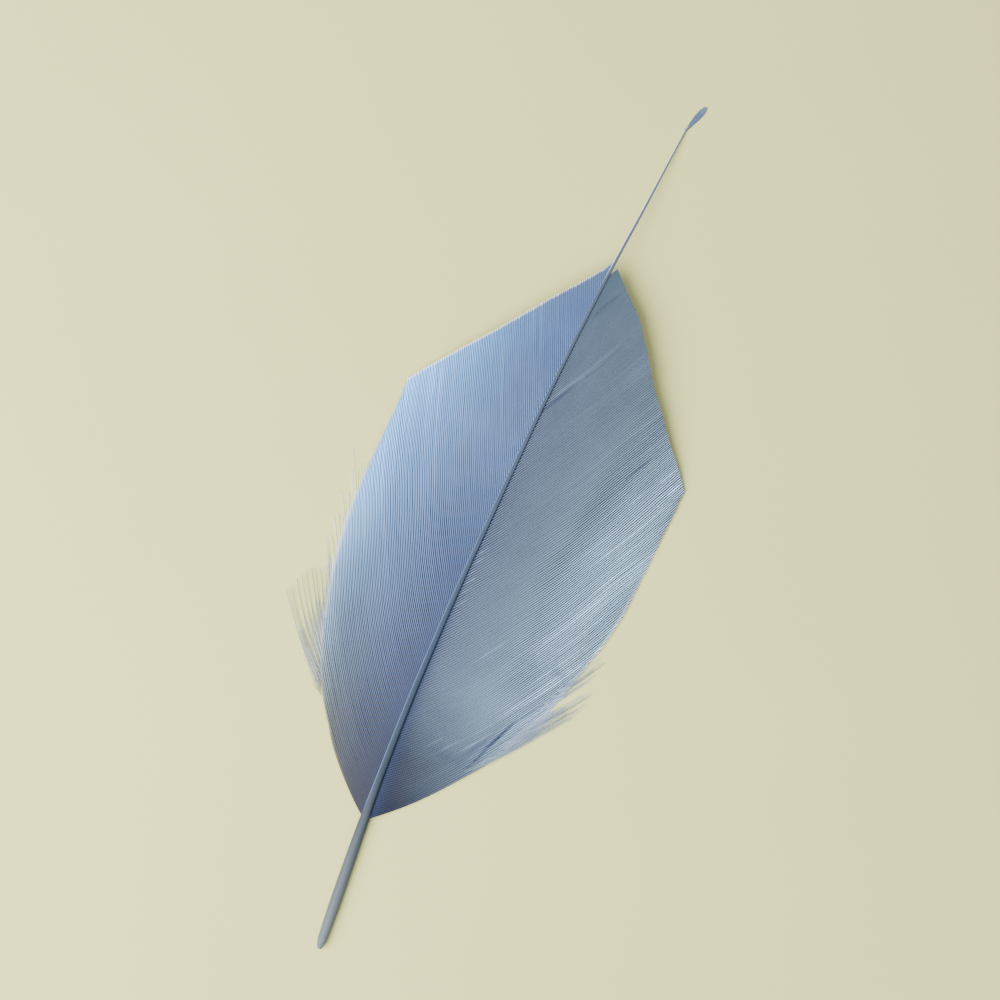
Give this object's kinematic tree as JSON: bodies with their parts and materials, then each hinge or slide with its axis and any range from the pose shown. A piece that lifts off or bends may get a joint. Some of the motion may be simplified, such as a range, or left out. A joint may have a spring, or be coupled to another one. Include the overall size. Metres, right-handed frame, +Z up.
{
  "type": "goose feather",
  "caption": "Pale blue goose feather trimmed to an arrowhead, with a bare tapering shaft above the vane and a small spoon of vane at the tip, lying on its margins.",
  "frame": {"origin": "centre of the feather's outline in plan, on the surface that it lies on", "axes": "+Y from the foot of the quill to the tip, +X towards the broader half of the vane, +Z up out of the feather's rounded side"},
  "size_m": [0.0625, 0.1782, 0.0074],
  "materials": {
    "vane": "satin",
    "shaft": "satin"
  },
  "bodies": {
    "root": {"feather": "vane"}
  },
  "joints": []
}
